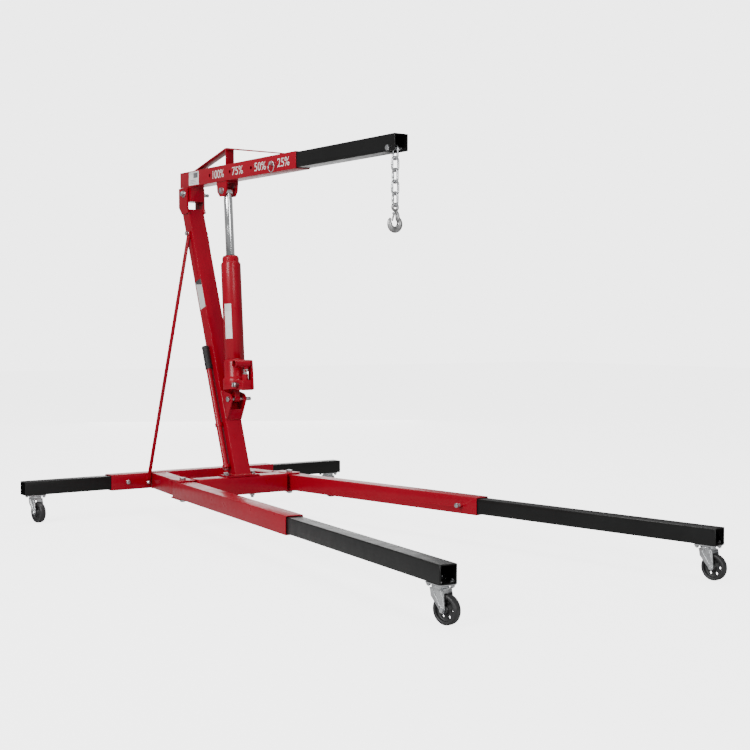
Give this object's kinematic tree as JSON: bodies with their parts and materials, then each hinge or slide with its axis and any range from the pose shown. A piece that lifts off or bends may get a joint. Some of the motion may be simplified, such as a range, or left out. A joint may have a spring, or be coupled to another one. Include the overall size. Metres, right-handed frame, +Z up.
{
  "type": "engine hoist crane",
  "caption": "Workshop hoist: splayed legs on swivel casters, a leaning mast, and a telescopic boom lifted by a hydraulic jack over a chain and hook.",
  "frame": {"origin": "middle of the floor area that the hoist covers, on the floor", "axes": "+X along the boom towards the hook, +Y to the operator's left, +Z up"},
  "size_m": [2.6842, 1.65, 1.64],
  "materials": {
    "red_paint": "glossy red enamel",
    "black_paint": "satin black enamel",
    "zinc": "bright zinc plate",
    "chrome": "polished hard chrome",
    "forged_steel": "zinc-plated forging",
    "grip_rubber": "matt moulded rubber",
    "wheel_plastic": "moulded black wheel"
  },
  "bodies": {
    "base": {"rear_beam_sleeve": "red_paint", "left_side_rail": "red_paint", "right_side_rail": "red_paint", "front_cross_member": "red_paint", "left_upper_leg_plate": "red_paint", "left_lower_leg_plate": "red_paint", "right_upper_leg_plate": "red_paint", "right_lower_leg_plate": "red_paint", "left_rear_extension": "black_paint", "right_rear_extension": "black_paint", "left_rear_bolt": "zinc", "right_rear_bolt": "zinc", "mast_column": "red_paint", "jack_lower_clevis": "red_paint", "left_brace": "red_paint", "right_brace": "red_paint", "left_leg_pivot_bolt": "zinc", "right_leg_pivot_bolt": "zinc", "boom_pivot_bolt": "zinc", "jack_lower_bolt": "zinc", "left_rear_caster_plate": "zinc", "right_rear_caster_plate": "zinc"},
    "left_leg": {"left_leg_sleeve": "red_paint", "left_leg_extension": "black_paint", "left_leg_bolt": "zinc", "left_front_caster_plate": "zinc"},
    "right_leg": {"right_leg_sleeve": "red_paint", "right_leg_extension": "black_paint", "right_leg_bolt": "zinc", "right_front_caster_plate": "zinc"},
    "boom": {"boom_outer": "red_paint", "boom_truss": "red_paint", "boom_jack_bracket": "red_paint"},
    "boom_extension": {"boom_inner": "black_paint", "chain_bolt": "zinc"},
    "lock_pin": {"lock_pin": "zinc"},
    "jack": {"jack_base": "red_paint", "jack_cylinder": "red_paint"},
    "ram": {"jack_ram": "chrome", "jack_upper_pin": "zinc"},
    "pump_lever": {"pump_socket": "red_paint"},
    "pump_plunger": {"pump_plunger": "chrome"},
    "release_valve": {"release_valve": "forged_steel"},
    "handle": {"pump_handle": "red_paint", "handle_grip": "grip_rubber"},
    "hook": {"hook": "forged_steel"},
    "hook_latch": {"hook_latch": "forged_steel"},
    "link_1": {"chain_link_1": "zinc"},
    "link_2": {"chain_link_2": "zinc"},
    "link_3": {"chain_link_3": "zinc"},
    "link_4": {"chain_link_4": "zinc"},
    "link_5": {"chain_link_5": "zinc"},
    "left_rear_fork": {"left_rear_caster_fork": "zinc"},
    "left_rear_wheel": {"left_rear_caster_wheel": "wheel_plastic"},
    "left_front_fork": {"left_front_caster_fork": "zinc"},
    "left_front_wheel": {"left_front_caster_wheel": "wheel_plastic"},
    "right_rear_fork": {"right_rear_caster_fork": "zinc"},
    "right_rear_wheel": {"right_rear_caster_wheel": "wheel_plastic"},
    "right_front_fork": {"right_front_caster_fork": "zinc"},
    "right_front_wheel": {"right_front_caster_wheel": "wheel_plastic"}
  },
  "joints": [
    {"name": "boom_lift", "type": "hinge", "parent": "base", "child": "boom", "pos_m": [-1.27566, 0, 1.462], "axis": [0, -1, 0], "range_deg": [-20, 28]},
    {"name": "jack_swing", "type": "hinge", "parent": "base", "child": "jack", "pos_m": [-0.88366, 0, 0.532], "axis": [0, -1, 0], "range_deg": [-4, 4]},
    {"name": "ram_travel", "type": "slide", "parent": "jack", "child": "ram", "axis": [-0.0769, 0, 0.997], "range_m": [-0.14, 0.18]},
    {"name": "boom_reach", "type": "slide", "parent": "boom", "child": "boom_extension", "axis": [1, 0, 0], "range_m": [-0.54, 0]},
    {"name": "lock_pin_pull", "type": "slide", "parent": "boom", "child": "lock_pin", "axis": [0, -1, 0], "range_m": [0, 0.09]},
    {"name": "pump_stroke", "type": "hinge", "parent": "jack", "child": "pump_lever", "pos_m": [-0.80666, 0.019, 0.69], "axis": [-1, 0, 0], "range_deg": [-8, 15]},
    {"name": "plunger_travel", "type": "slide", "parent": "jack", "child": "pump_plunger", "axis": [0, 0, 1], "range_m": [-0.005, 0.01]},
    {"name": "release_turn", "type": "hinge", "parent": "jack", "child": "release_valve", "pos_m": [-0.82466, 0, 0.598], "axis": [0, -1, 0], "range_deg": [-90, 90]},
    {"name": "handle_store", "type": "slide", "parent": "base", "child": "handle", "axis": [-0.3387, 0, 0.9409], "range_m": [0, 0.25]},
    {"name": "left_leg_swing", "type": "hinge", "parent": "base", "child": "left_leg", "pos_m": [-0.87466, 0.272, 0.15], "axis": [0, 0, 1], "range_deg": [-8, 8]},
    {"name": "right_leg_swing", "type": "hinge", "parent": "base", "child": "right_leg", "pos_m": [-0.87466, -0.272, 0.15], "axis": [0, 0, 1], "range_deg": [-8, 8]},
    {"name": "left_rear_swivel", "type": "hinge", "parent": "base", "child": "left_rear_fork", "pos_m": [-1.29466, 0.768, 0.1], "axis": [0, 0, 1], "continuous": true},
    {"name": "left_rear_spin", "type": "hinge", "parent": "left_rear_fork", "child": "left_rear_wheel", "pos_m": [-1.27089, 0.77135, 0.045], "axis": [-0.1395, 0.9902, 0], "continuous": true},
    {"name": "left_front_swivel", "type": "hinge", "parent": "left_leg", "child": "left_front_fork", "pos_m": [1.27316, 0.58151, 0.1], "axis": [0, 0, 1], "continuous": true},
    {"name": "left_front_spin", "type": "hinge", "parent": "left_front_fork", "child": "left_front_wheel", "pos_m": [1.29698, 0.58438, 0.045], "axis": [-0.1197, 0.9928, 0], "continuous": true},
    {"name": "right_rear_swivel", "type": "hinge", "parent": "base", "child": "right_rear_fork", "pos_m": [-1.29466, -0.768, 0.1], "axis": [0, 0, 1], "continuous": true},
    {"name": "right_rear_spin", "type": "hinge", "parent": "right_rear_fork", "child": "right_rear_wheel", "pos_m": [-1.27089, -0.76465, 0.045], "axis": [-0.1395, 0.9902, 0], "continuous": true},
    {"name": "right_front_swivel", "type": "hinge", "parent": "right_leg", "child": "right_front_fork", "pos_m": [1.27316, -0.58151, 0.1], "axis": [0, 0, 1], "continuous": true},
    {"name": "right_front_spin", "type": "hinge", "parent": "right_front_fork", "child": "right_front_wheel", "pos_m": [1.29681, -0.57744, 0.045], "axis": [-0.1692, 0.9856, 0], "continuous": true},
    {"name": "link_1_swing", "type": "hinge", "parent": "boom_extension", "child": "link_1", "pos_m": [0.28034, 0, 1.51], "axis": [0, 1, 0], "range_deg": [-20, 20]},
    {"name": "link_2_swing", "type": "hinge", "parent": "link_1", "child": "link_2", "pos_m": [0.28034, 0, 1.4689], "axis": [1, 0, 0], "range_deg": [-20, 20]},
    {"name": "link_3_swing", "type": "hinge", "parent": "link_2", "child": "link_3", "pos_m": [0.28034, 0, 1.4258], "axis": [0, 1, 0], "range_deg": [-20, 20]},
    {"name": "link_4_swing", "type": "hinge", "parent": "link_3", "child": "link_4", "pos_m": [0.28034, 0, 1.3827], "axis": [1, 0, 0], "range_deg": [-20, 20]},
    {"name": "link_5_swing", "type": "hinge", "parent": "link_4", "child": "link_5", "pos_m": [0.28034, 0, 1.3396], "axis": [0, 1, 0], "range_deg": [-20, 20]},
    {"name": "hook_swing", "type": "hinge", "parent": "link_5", "child": "hook", "pos_m": [0.28034, 0, 1.2965], "axis": [1, 0, 0], "range_deg": [-20, 20]},
    {"name": "latch_swing", "type": "hinge", "parent": "hook", "child": "hook_latch", "pos_m": [0.28034, -0.006, 1.2723], "axis": [1, 0, 0], "range_deg": [0, 30], "stiffness_Nm_per_rad": 0.02, "springref_deg": -5.73}
  ],
  "couplings": [
    {"joint": "jack_swing", "follows": "boom_lift", "ratio": -0.012},
    {"joint": "ram_travel", "follows": "boom_lift", "m_per_rad": 0.312},
    {"joint": "plunger_travel", "follows": "pump_stroke", "m_per_rad": 0.019}
  ]
}
